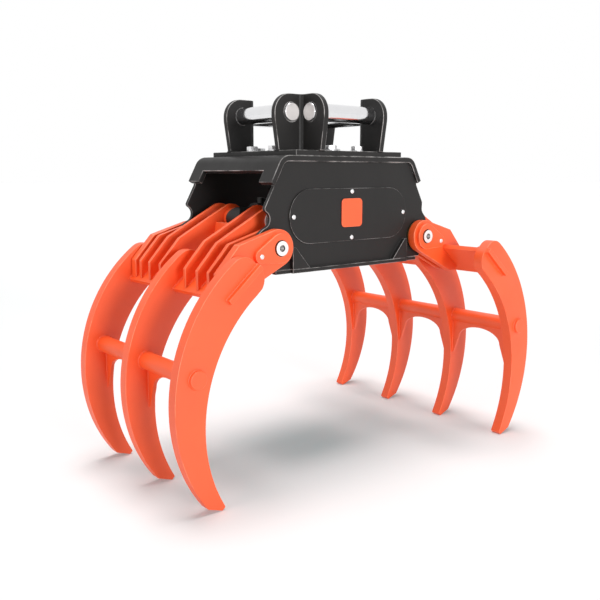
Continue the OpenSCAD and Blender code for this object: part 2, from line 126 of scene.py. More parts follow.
class NodeTree:
    """A short way to add the nodes of one tree and to join them."""

    def __init__(self, tree: bpy.types.NodeTree) -> None:
        """Keeps the tree that the nodes go into.

        Args:
            tree: A shader or geometry tree.
        """
        self.tree = tree

    def add(self, kind: str, settings: dict[str, Any] | None = None, **inputs: Any) -> bpy.types.Node:
        """Adds one node, sets its properties and fills its inputs.

        Args:
            kind: The node's type name in Blender.
            settings: Properties of the node itself.
            **inputs: Values or output sockets by input name, with _ for a space.

        Returns:
            The new node.
        """
        node = self.tree.nodes.new(kind)
        for name, value in (settings or {}).items():
            setattr(node, name, value)
        for name, value in inputs.items():
            self.feed(node.inputs[name.replace("_", " ")], value)
        return node

    def feed(self, socket: bpy.types.NodeSocket, value: Any) -> None:
        """Links an output socket to an input, or writes a plain value on it.

        Args:
            socket: The input socket.
            value: A plain value or an output socket.
        """
        if isinstance(value, bpy.types.NodeSocket):
            self.tree.links.new(value, socket)
        else:
            socket.default_value = value

    def math(self, operation: str, first: Any, second: Any = 0.0,
             clamp: bool = False) -> bpy.types.NodeSocket:
        """Adds one math node on two values or sockets.

        Args:
            operation: The node's operation in Blender.
            first: Its first value or socket.
            second: Its second value or socket, where the operation takes one.
            clamp: Whether the result is held between 0 and 1.

        Returns:
            The node's result.
        """
        node = self.tree.nodes.new("ShaderNodeMath")
        node.operation = operation
        node.use_clamp = clamp
        self.feed(node.inputs[0], first)
        self.feed(node.inputs[1], second)
        return node.outputs[0]

    def noise(self, where: Any, grain: Grain) -> bpy.types.NodeSocket:
        """Returns the grey value of a noise pattern."""
        return self.add("ShaderNodeTexNoise", Vector=where, Scale=grain.scale, Detail=grain.detail,
                        Roughness=grain.roughness).outputs[0]

    def between(self, value: Any, low: float, high: float, out_low: float = 0.0,
                out_high: float = 1.0) -> bpy.types.NodeSocket:
        """Maps a value from one range to another and holds both ends.

        Args:
            value: The value or socket.
            low: Where its range starts.
            high: Where its range ends.
            out_low: What low becomes.
            out_high: What high becomes.

        Returns:
            The mapped value.
        """
        node = self.tree.nodes.new("ShaderNodeMapRange")
        for index, number in enumerate((value, low, high, out_low, out_high)):
            self.feed(node.inputs[index], number)
        return node.outputs[0]

    def grain(self, where: Any, grain: Grain, out_low: float = 0.0,
              out_high: float = 1.0) -> bpy.types.NodeSocket:
        """Returns a noise pattern whose band is mapped to out_low..out_high."""
        return self.between(self.noise(where, grain), grain.low, grain.high, out_low, out_high)

    def blend(self, amount: Any, first: Any, second: Any) -> bpy.types.NodeSocket:
        """Mixes two colours.

        Args:
            amount: Share of the second colour.
            first: Colour or socket at 0.
            second: Colour or socket at 1.

        Returns:
            The mixed colour.
        """
        node = self.tree.nodes.new("ShaderNodeMix")
        node.data_type = "RGBA"
        self.feed(node.inputs["Factor"], amount)
        colours = [socket for socket in node.inputs if socket.type == "RGBA"]
        for socket, colour in zip(colours, (first, second)):
            self.feed(socket, colour)
        return next(socket for socket in node.outputs if socket.type == "RGBA")

    def seen(self) -> bpy.types.NodeSocket:
        """Tells what the camera, gloss or glass sees from the light that a surface gives.

        Returns:
            1 for a ray of the first kind and 0 for the rest.
        """
        rays = self.add("ShaderNodeLightPath").outputs
        direct = self.math("MAXIMUM", rays["Is Camera Ray"], rays["Is Glossy Ray"])
        return self.math("MAXIMUM", direct, rays["Is Transmission Ray"])


def rgba(colour: Colour) -> tuple[float, float, float, float]:
    """Returns an RGB colour with full alpha."""
    return (colour[0], colour[1], colour[2], 1.0)


def add_object(name: str, data: bpy.types.ID) -> bpy.types.Object:
    """Adds an object to the scene, at the origin.

    Args:
        name: Name of the object.
        data: Its mesh, lamp or camera.

    Returns:
        The object.
    """
    made = bpy.data.objects.new(name, data)
    bpy.context.scene.collection.objects.link(made)
    return made


@dataclass(frozen=True)
class Finish:
    """A surface finish: its own name and the record's material slot that it shows."""

    name: str
    slot: str
    colour: Colour
    roughness: float

    def make(self) -> bpy.types.Material:
        """Builds the material with its nodes.

        Returns:
            The finished material.
        """
        material = bpy.data.materials.new(self.name)
        material.use_nodes = True
        material.diffuse_color = rgba(self.colour)
        tree = NodeTree(material.node_tree)
        shader = material.node_tree.nodes["Principled BSDF"]
        where = tree.add("ShaderNodeTexCoord").outputs["Object"]
        self.dress(tree, shader, where)
        return material

    def dress(self, tree: NodeTree, shader: bpy.types.Node, where: bpy.types.NodeSocket) -> None:
        """Adds the nodes of one kind of finish; each kind has its own."""
        raise NotImplementedError

    def roughen(self, tree: NodeTree, shader: bpy.types.Node, rough: bpy.types.NodeSocket,
                relief: bpy.types.NodeSocket, strength: float, height: float) -> None:
        """Joins the roughness and the bump to the shader.

        Args:
            tree: The material's tree.
            shader: Its shader.
            rough: The roughness.
            relief: The relief's grey value.
            strength: How strong the bump is, from 0 to 1.
            height: Height of the relief.
        """
        tree.feed(shader.inputs["Roughness"], rough)
        bump = tree.add("ShaderNodeBump", Height=relief, Strength=strength, Distance=height)
        tree.feed(shader.inputs["Normal"], bump.outputs[0])


@dataclass(frozen=True)
class Paint(Finish):
    """Sprayed paint: mottled colour, orange peel, and a lighter colour on the rounded edges, partly rubbed
    paint and partly a painted highlight, where the edge attribute is set.
    """

    mottle: Colour
    # Colour and strength along the rounded edges: partly worn paint, partly a painted highlight.
    rubbed: Colour
    rub: float
    gloss: float
    cloud_share: float = 0.7
    speck_share: float = 0.3
    least_patch: float = 0.08
    least_grit: float = 0.6
    smoother: float = 0.05
    rougher: float = 0.07
    peel: float = 0.12
    peel_height: float = 0.0004

    def dress(self, tree: NodeTree, shader: bpy.types.Node, where: bpy.types.NodeSocket) -> None:
        """Adds the paint's colour, roughness and bump nodes.

        Args:
            tree: The material's tree.
            shader: Its shader.
            where: Object coordinates.
        """
        shader.inputs["Specular IOR Level"].default_value = self.gloss
        cloudy = tree.grain(where, CLOUDS)
        speckle = tree.grain(where, SPECKS)
        amount = tree.math("ADD", tree.math("MULTIPLY", cloudy, self.cloud_share),
                           tree.math("MULTIPLY", speckle, self.speck_share))
        coat = tree.blend(amount, rgba(self.colour), rgba(self.mottle))
        # Lighter colour on the rounded edges: partly rubbed paint, partly a painted highlight that stands in
        # for light caught on the edges.
        worn = tree.add("ShaderNodeAttribute", {"attribute_name": "worn"}).outputs["Fac"]
        patchy = tree.math("MULTIPLY", worn, tree.grain(where, PATCHES, self.least_patch))
        gritty = tree.math("MULTIPLY", tree.grain(where, GRIT, self.least_grit), self.rub)
        rubbing_and_highlight = tree.math("MULTIPLY", patchy, gritty, True)
        tree.feed(shader.inputs["Base Color"], tree.blend(rubbing_and_highlight, coat, rgba(self.rubbed)))
        smear = tree.grain(where, SMEARS, self.roughness - self.smoother, self.roughness + self.rougher)
        self.roughen(tree, shader, smear, tree.noise(where, ORANGE_PEEL), self.peel, self.peel_height)


@dataclass(frozen=True)
class Metal(Finish):
    """Bare or plated metal with fine turning lines and a little staining."""

    stain: Colour
    stain_amount: float = 0.25
    metallic: float = 1.0
    smoothest: float = 0.85
    roughest: float = 1.3
    line_depth: float = 0.04
    line_height: float = 0.0002

    def dress(self, tree: NodeTree, shader: bpy.types.Node, where: bpy.types.NodeSocket) -> None:
        """Adds the metal's colour, roughness and bump nodes.

        Args:
            tree: The material's tree.
            shader: Its shader.
            where: Object coordinates.
        """
        shader.inputs["Metallic"].default_value = self.metallic
        cloudy = tree.grain(where, STAINS, 0.0, self.stain_amount)
        tree.feed(shader.inputs["Base Color"], tree.blend(cloudy, rgba(self.colour), rgba(self.stain)))
        smear = tree.grain(where, HANDLING, self.roughness * self.smoothest, self.roughness * self.roughest)
        self.roughen(tree, shader, smear, tree.noise(where, TURNING), self.line_depth, self.line_height)


# The lighter orange along the rounded edges of the orange paint is a painted highlight.
ORANGE = Paint("orange_enamel", "orange_paint", (0.93, 0.105, 0.012), 0.46,
               mottle=(0.86, 0.090, 0.009), rubbed=(1.0, 0.32, 0.16), rub=0.75, gloss=0.85)
# The light grey along the rounded edges of the black paint is partly worn paint and partly a painted
# highlight.
BLACK = Paint("charcoal_enamel", "black_paint", (0.0105, 0.0095, 0.009), 0.50,
              mottle=(0.0075, 0.0068, 0.0065), rubbed=(0.52, 0.51, 0.50), rub=0.9, gloss=0.31)
CHROME = Metal("hard_chrome", "chrome", (0.78, 0.78, 0.79), 0.12,
               stain=(0.6, 0.6, 0.62), stain_amount=0.15)
GROUND = Metal("ground_steel_end", "chrome", (0.66, 0.64, 0.63), 0.42,
               stain=(0.5, 0.48, 0.46), metallic=0.55)
STEEL = Metal("pin_steel_bright", "pin_steel", (0.86, 0.86, 0.86), 0.36,
              stain=(0.50, 0.49, 0.48), stain_amount=0.15, metallic=0.25)
TURNED = Metal("pin_steel_turned", "pin_steel", (0.40, 0.38, 0.37), 0.24,
               stain=(0.20, 0.19, 0.18), stain_amount=0.4)
ZINC = Metal("bright_zinc", "zinc", (0.84, 0.84, 0.85), 0.34, stain=(0.62, 0.62, 0.6), metallic=0.6)
DULL = Metal("dull_zinc", "zinc", (0.36, 0.36, 0.36), 0.42, stain=(0.20, 0.20, 0.20), metallic=0.6)
BRONZE = Metal("bearing_bronze", "bronze", (0.55, 0.34, 0.13), 0.32, stain=(0.32, 0.2, 0.09))


class FinishRack:
    """Makes each finish once and hands out its material."""

    def __init__(self) -> None:
        """Starts with an empty rack."""
        self.made: dict[Finish, bpy.types.Material] = {}

    def get(self, finish: Finish) -> bpy.types.Material:
        """Hands out the material of a finish and makes it on first use.

        Args:
            finish: The finish.

        Returns:
            Its material.
        """
        if finish not in self.made:
            self.made[finish] = finish.make()
        return self.made[finish]


@dataclass(frozen=True)
class Edge:
    """How far the sharp edges of a plate are rounded, in how many steps, and where they stay sharp."""

    width: float
    steps: int = 2
    spare: Callable[[Vector], bool] | None = None

    def takes(self, edge: bmesh.types.BMEdge) -> bool:
        """Says whether an edge is sharp, points outwards and isn't spared.

        Args:
            edge: An edge of the mesh.

        Returns:
            Whether it is rounded.
        """
        if len(edge.link_faces) != 2 or edge.calc_face_angle_signed(0.0) <= ROUNDED:
            return False
        return not (self.spare and self.spare((edge.verts[0].co + edge.verts[1].co) / 2.0))

    def round(self, bm: bmesh.types.BMesh) -> None:
        """Rounds the outward edges of a mesh and marks the rounding for edge wear and a painted highlight.

        Args:
            bm: A closed mesh whose faces point outwards.
        """
        # The attribute marks the rounding for a lighter edge colour: partly wear, partly a painted highlight.
        worn = bm.loops.layers.float.new("worn")
        sharp = [edge for edge in bm.edges if self.takes(edge)]
        if sharp:
            made = bmesh.ops.bevel(bm, geom=sharp, offset=self.width, offset_type="OFFSET",
                                   segments=self.steps, profile=ROUND_PROFILE, affect="EDGES",
                                   clamp_overlap=False, loop_slide=False)
            rounded = set(made["faces"])
            for face in rounded:
                for loop in face.loops:
                    inside = all(other in rounded for other in loop.vert.link_faces)
                    loop[worn] = 1.0 if inside else RIM_WEAR_AND_HIGHLIGHT
        for face in bm.faces:
            face.smooth = True
        for edge in bm.edges:
            edge.smooth = len(edge.link_faces) == 2 and abs(edge.calc_face_angle(0.0)) < CREASE


COVER_EDGE = Edge(0.0020, 3)
LUG_EDGE = Edge(0.0016, 3)
BASE_EDGE = Edge(0.0015)
PLATE_EDGE = Edge(0.0013)
JAW_EDGE = Edge(0.0012)
CHEEK_EDGE = Edge(0.0010)
THIN_EDGE = Edge(0.0009)
BARREL_EDGE = Edge(0.0008)
BUSH_EDGE = Edge(0.0006)
PIN_EDGE = Edge(0.0005)
WEB_EDGE = Edge(0.0004)
BAR_EDGE = Edge(0.0004, 1)


class Workshop:
    """Turns nodes of the frame into dressed pieces and books every piece on its body."""

    end_depth: float = 0.0006
    square_on: float = 0.9

    def __init__(self, frame: dict[str, Any]) -> None:
        """Reads the bodies of the frame.
        """
        self.nodes = frame["nodes"]
        self.rack = FinishRack()
        bodies = frame["record"]["behaviour"]["bodies"]
        self.body_of = {node: body for body, members in bodies.items() for node in members}
        self.count = 0

    def book(self, piece: bpy.types.Object, body: str, finish: Finish, replaced: Sequence[str] = ()) -> None:
        """Makes a piece ride on its body and hides the CAD nodes that it stands for.

        Args:
            piece: The finished object.
            body: Name of the body that it moves with.
            finish: Not used.
            replaced: The CAD nodes that it stands for.
        """
        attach(piece, body)
        if replaced:
            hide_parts(*replaced)
        self.count += 1
        LOG.info("%s rides on %s with %d faces", piece.name, body, len(piece.data.polygons))

    def round_off(self, mesh: bpy.types.Mesh, bm: bmesh.types.BMesh, edge: Edge,
                  finish: Finish) -> bpy.types.Object:
        """Rounds the edges of a closed shape and makes it an object with its finish.

        Args:
            mesh: The mesh that the shape is written to, under the piece's name.
            bm: The shape, which is freed.
            edge: How its sharp edges are rounded.
            finish: The finish of the whole piece.

        Returns:
            The piece, not booked yet.
        """
        edge.round(bm)
        bm.to_mesh(mesh)
        bm.free()
        mesh.materials.append(self.rack.get(finish))
        piece = add_object(mesh.name, mesh)
        flatten = piece.modifiers.new("even_normals", "WEIGHTED_NORMAL")
        flatten.keep_sharp = True
        return piece

    def dress(self, node: str, finish: Finish, edge: Edge, ends: Finish | None = None) -> None:
        """Copies a node with its edges rounded and puts a finish on it.

        Args:
            node: Name of the CAD node.
            finish: The finish of the whole piece.
            edge: How its sharp edges are rounded.
            ends: Another finish for the flat end faces of a round bar, where it has one.
        """
        source = self.nodes[node].data
        mesh = bpy.data.meshes.new(f"{node}_dressed")
        mesh.from_pydata([v.co[:] for v in source.vertices], [], [tuple(p.vertices) for p in source.polygons])
        bm = bmesh.new()
        bm.from_mesh(mesh)
        bmesh.ops.remove_doubles(bm, verts=bm.verts[:], dist=MERGE)
        piece = self.round_off(mesh, bm, edge, finish)
        if ends:
            self.finish_ends(mesh, ends)
        self.book(piece, self.body_of[node], finish, [node])

    def cut_plate(self, name: str, body: str, outline: Sequence[Pair], faces: Pair, finish: Finish,
                  edge: Edge) -> None:
        """Cuts an upright plate along Y from an outline in X and Z.

        Args:
            name: Name of the piece.
            body: The body that it rides on.
            outline: Corners of the plate, in order.
            faces: Y of its two faces.
            finish: The finish of the piece.
            edge: How its sharp edges are rounded.
        """
        bm = bmesh.new()
        near, far = ([bm.verts.new((x, y, z)) for x, z in outline] for y in faces)
        bm.faces.new(near)
        bm.faces.new(far)
        for index in range(len(outline)):
            after = (index + 1) % len(outline)
            bm.faces.new((near[index], near[after], far[after], far[index]))
        bmesh.ops.recalc_face_normals(bm, faces=bm.faces[:])
        piece = self.round_off(bpy.data.meshes.new(name), bm, edge, finish)
        self.book(piece, body, finish)

    def finish_ends(self, mesh: bpy.types.Mesh, ends: Finish) -> None:
        """Puts another finish on the two flat ends of a bar along X or Y.

        Args:
            mesh: The bar.
            ends: The finish of its ends.
        """
        mesh.materials.append(self.rack.get(ends))
        low = Vector([min(v.co[i] for v in mesh.vertices) for i in range(3)])
        high = Vector([max(v.co[i] for v in mesh.vertices) for i in range(3)])
        axis = max(range(3), key=lambda i: high[i] - low[i])
        for face in mesh.polygons:
            depth = min(face.center[axis] - low[axis], high[axis] - face.center[axis])
            if abs(face.normal[axis]) > self.square_on and depth < self.end_depth:
                face.material_index = 1


class GeometryTree:
    """A geometry tree with named inputs, and the work of running it on an object."""

    def __init__(self, name: str, **sockets: str) -> None:
        """Opens the tree and its inputs.

        Args:
            name: Name of the tree.
            **sockets: Kind of each named input that follows the geometry.
        """
        self.group = bpy.data.node_groups.new(name, "GeometryNodeTree")
        face = self.group.interface
        for label, kind in {"Geometry": "Geometry", **sockets}.items():
            face.new_socket(label, in_out="INPUT", socket_type=f"NodeSocket{kind}")
        face.new_socket("Geometry", in_out="OUTPUT", socket_type="NodeSocketGeometry")
        self.nodes = NodeTree(self.group)
        self.given = self.nodes.add("NodeGroupInput").outputs
        self.result = self.nodes.add("NodeGroupOutput").inputs

    def close(self, geometry: bpy.types.NodeSocket) -> None:
        """Ends the tree with real geometry, smooth faces and its material.

        Args:
            geometry: What the tree made, instances among it.
        """
        real = self.nodes.add("GeometryNodeRealizeInstances", Geometry=geometry).outputs[0]
        smooth = self.nodes.add("GeometryNodeSetShadeSmooth", Geometry=real).outputs[0]
        coated = self.nodes.add("GeometryNodeSetMaterial", Geometry=smooth, Material=self.given["Finish"])
        self.nodes.feed(self.result[0], coated.outputs[0])

    def run(self, name: str, guide: bpy.types.Mesh, values: dict[str, Any]) -> bpy.types.Object:
        """Runs the tree on a guide mesh and keeps the result as a plain mesh.

        Args:
            name: Name of the piece.
            guide: Mesh of guide points or lines.
            values: Value of each named input.

        Returns:
            The piece, with no modifier left on it.
        """
        piece = add_object(name, guide)
        modifier = piece.modifiers.new(self.group.name, "NODES")
        modifier.node_group = self.group
        for item in self.group.interface.items_tree:
            if item.in_out == "INPUT" and item.name in values:
                modifier[item.identifier] = values[item.name]
        graph = bpy.context.evaluated_depsgraph_get()
        made = bpy.data.meshes.new_from_object(piece.evaluated_get(graph), depsgraph=graph)
        piece.modifiers.clear()
        piece.data = made
        made.name = name
        bpy.data.meshes.remove(guide)
        return piece


class WeldBeads:
    """Rippled weld beads that follow the corner lines between plates."""

    steps_per_ripple: float = 3.0
    sides: int = 8
    uneven: Pair = (0.88, 1.12)
    ripple_length: float = 1.1
    ripple_depth: float = 0.07

    def __init__(self, shop: Workshop) -> None:
        """Builds the tree that turns lines into beads.

        Args:
            shop: The workshop that books the pieces.
        """
        self.shop = shop
        self.tree = GeometryTree("weld_bead", Throat="Float", Ripple="Float", Depth="Float",
                                 Finish="Material")
        nodes, given = self.tree.nodes, self.tree.given
        line = nodes.add("GeometryNodeMeshToCurve", Mesh=given["Geometry"]).outputs[0]
        step = nodes.math("DIVIDE", given["Ripple"], self.steps_per_ripple)
        even = nodes.add("GeometryNodeResampleCurve", {"mode": "LENGTH"}, Curve=line, Length=step).outputs[0]
        along = nodes.add("GeometryNodeSplineParameter").outputs["Length"]
        turn = nodes.math("MULTIPLY", nodes.math("DIVIDE", along, given["Ripple"]), 2.0 * math.pi)
        wave = nodes.math("MULTIPLY", nodes.math("SINE", turn), given["Depth"])
        place = nodes.add("GeometryNodeInputPosition").outputs[0]
        hand = nodes.grain(place, WELDING_HAND, *self.uneven)
        swell = nodes.math("MULTIPLY", nodes.math("ADD", wave, 1.0), hand)
        radius = nodes.math("MULTIPLY", swell, given["Throat"])
        ring = nodes.add("GeometryNodeCurvePrimitiveCircle", Resolution=self.sides, Radius=1.0).outputs[0]
        bead = nodes.add("GeometryNodeCurveToMesh", Curve=even, Profile_Curve=ring, Scale=radius,
                         Fill_Caps=True)
        self.tree.close(bead.outputs[0])

    def lay(self, name: str, body: str, paths: Iterable[Path], finish: Finish, throat: float) -> None:
        """Lays one piece of weld along several lines.

        Args:
            name: Name of the piece.
            body: The body that it rides on.
            paths: Lines in the frame of the CAD model.
            finish: The paint over the weld.
            throat: Radius of the bead.
        """
        points: list[Point] = []
        lines: list[tuple[int, int]] = []
        for path in paths:
            start = len(points)
            points.extend(path)
            lines.extend((start + i, start + i + 1) for i in range(len(path) - 1))
        guide = bpy.data.meshes.new(f"{name}_lines")
        guide.from_pydata(points, lines, [])
        values = {"Throat": throat, "Ripple": throat * self.ripple_length, "Depth": self.ripple_depth,
                  "Finish": self.shop.rack.get(finish)}
        self.shop.book(self.tree.run(name, guide, values), body, finish)


HALF_SIDE = math.pi / 6.0  # half of the angle that one side of a hexagon takes


@dataclass(frozen=True)
class Turned:
    """A small fastener made of rings on one axis: radius, height and how far each ring is six-sided."""

    name: str
    rings: tuple[tuple[float, float, float], ...]
    sides: int = 24

    def template(self) -> bpy.types.Object:
        """Builds one fastener that stands on the origin and points up.

        Returns:
            An object that the tree of fasteners copies.
        """
        bm = bmesh.new()
        loops = []
        for radius, height, hexed in self.rings:
            ring = []
            for index in range(self.sides):
                angle = 2.0 * math.pi * index / self.sides
                corner = (angle + HALF_SIDE) % (2.0 * HALF_SIDE) - HALF_SIDE
                flat = math.cos(HALF_SIDE) / math.cos(HALF_SIDE - abs(corner))
                reach = radius * (1.0 - hexed + hexed * flat)
                ring.append(bm.verts.new((reach * math.cos(angle), reach * math.sin(angle), height)))
            loops.append(ring)
        for low, high in zip(loops, loops[1:]):
            for index in range(self.sides):
                after = (index + 1) % self.sides
                bm.faces.new((low[index], low[after], high[after], high[index]))
        bm.faces.new(list(reversed(loops[0])))
        bm.faces.new(loops[-1])
        bmesh.ops.recalc_face_normals(bm, faces=bm.faces[:])
        mesh = bpy.data.meshes.new(self.name)
        bm.to_mesh(mesh)
        bm.free()
        return add_object(self.name, mesh)


HEX_HEAD = Turned("hex_head", (
    (0.0100, -0.0005, 0.0), (0.0183, -0.0005, 0.0), (0.0187, 0.0004, 0.0), (0.0187, 0.0026, 0.0),
    (0.0181, 0.0031, 0.0), (0.0148, 0.0031, 0.0), (0.0148, 0.0036, 0.0), (0.0171, 0.0042, 1.0),
    (0.0173, 0.0050, 1.0), (0.0173, 0.0142, 1.0), (0.0164, 0.0150, 0.55), (0.0142, 0.0156, 0.0),
    (0.0100, 0.0156, 0.0)))
HEX_NUT = Turned("hex_nut", (
    (0.0140, -0.0001, 0.0), (0.0164, 0.0007, 0.55), (0.0173, 0.0016, 1.0), (0.0173, 0.0134, 1.0),
    (0.0164, 0.0143, 0.55), (0.0140, 0.0150, 0.0), (0.0102, 0.0150, 0.0), (0.0098, 0.0162, 0.0),
    (0.0085, 0.0170, 0.0)))
SOCKET_HEAD = Turned("socket_head", (
    (0.0040, -0.0010, 0.0), (0.0062, 0.0, 0.0), (0.0066, 0.0006, 0.0), (0.0064, 0.0016, 0.0),
    (0.0056, 0.0025, 0.0), (0.0043, 0.0030, 0.0), (0.0030, 0.0031, 0.9), (0.0027, 0.0028, 1.0),
    (0.0026, 0.0012, 1.0)))
GREASE_NIPPLE = Turned("grease_nipple", (
    (0.0046, -0.0004, 1.0), (0.0050, 0.0003, 1.0), (0.0050, 0.0022, 1.0), (0.0041, 0.0029, 0.3),
    (0.0027, 0.0031, 0.0), (0.0024, 0.0042, 0.0), (0.0031, 0.0052, 0.0), (0.0032, 0.0062, 0.0),
    (0.0022, 0.0071, 0.0), (0.0009, 0.0073, 0.0)))


class Fasteners:
    """Sets copies of a fastener on points, each turned to its own facing."""

    def __init__(self, shop: Workshop) -> None:
        """Builds the tree that copies a fastener to its points.

        Args:
            shop: The workshop that books the pieces.
        """
        self.shop = shop
        self.tree = GeometryTree("set_fasteners", Fastener="Object", Size="Float", Seed="Int",
                                 Finish="Material")
        nodes, given = self.tree.nodes, self.tree.given
        facing = nodes.add("GeometryNodeInputNamedAttribute", {"data_type": "FLOAT_VECTOR"}, Name="facing")
        stand = nodes.add("FunctionNodeAlignRotationToVector", {"axis": "Z"}, Vector=facing.outputs[0])
        spin = nodes.add("FunctionNodeRandomValue", {"data_type": "FLOAT"}, Seed=given["Seed"])
        least, most, angle = spin.inputs[2], spin.inputs[3], spin.outputs[1]  # the sockets of plain numbers
        least.default_value = 0.0
        most.default_value = 2.0 * HALF_SIDE
        turned = nodes.add("FunctionNodeAxisAngleToRotation", Axis=(0.0, 0.0, 1.0), Angle=angle)
        both = nodes.add("FunctionNodeRotateRotation", {"rotation_space": "LOCAL"},
                         Rotation=stand.outputs[0], Rotate_By=turned.outputs[0])
        shape = nodes.add("GeometryNodeObjectInfo", Object=given["Fastener"]).outputs["Geometry"]
        size = given["Size"]
        scale = nodes.add("ShaderNodeCombineXYZ", X=size, Y=size, Z=size).outputs[0]
        placed = nodes.add("GeometryNodeInstanceOnPoints", Points=given["Geometry"], Instance=shape,
                           Rotation=both.outputs[0], Scale=scale)
        self.tree.close(placed.outputs[0])

    def fit(self, name: str, body: str, kind: Turned, spots: Sequence[tuple[Point, Point]], finish: Finish,
            seed: int, replaced: Sequence[str] = (), size: float = 1.0) -> None:
        """Sets one fastener on every spot.

        Args:
            name: Name of the piece.
            body: The body that it rides on.
            kind: The fastener.
            spots: Place and facing of each copy.
            finish: The finish of all copies.
            seed: Seed of the turns about their own axes.
            replaced: The CAD nodes that they stand for.
            size: Scale of the copies.
        """
        guide = bpy.data.meshes.new(f"{name}_spots")
        guide.from_pydata([place for place, _ in spots], [], [])
        facing = guide.attributes.new("facing", "FLOAT_VECTOR", "POINT")
        for index, (_, way) in enumerate(spots):
            facing.data[index].vector = way
        template = kind.template()
        values = {"Fastener": template, "Size": size, "Seed": seed, "Finish": self.shop.rack.get(finish)}
        piece = self.tree.run(name, guide, values)
        bpy.data.objects.remove(template)
        piece.data.set_sharp_from_angle(angle=CREASE)
        self.shop.book(piece, body, finish, replaced)


def mirrored(path: Path, x: float = 1.0, y: float = 1.0) -> Path:
    """Returns a path with its X and Y multiplied by a sign."""
    return [(p[0] * x, p[1] * y, p[2]) for p in path]


def arc(centre: Pair, radius: float, start: float, end: float, steps: int) -> list[Pair]:
    """Returns points of an arc in X and Z, between two angles in degrees."""
    turns = [math.radians(start + (end - start) * step / steps) for step in range(steps + 1)]
    return [(centre[0] + radius * math.cos(t), centre[1] + radius * math.sin(t)) for t in turns]


def ring_about_y(centre: Pair, y: float, radius: float, steps: int = 40) -> Path:
    """Returns a closed circle round an axis along Y."""
    return [(x, y, z) for x, z in arc(centre, radius, 0.0, 360.0, steps)]


@dataclass
class SubAssembly:
    """What every welded sub-assembly is made with: the workshop, its welds and its fasteners."""

    shop: Workshop
    welds: WeldBeads
    fasteners: Fasteners


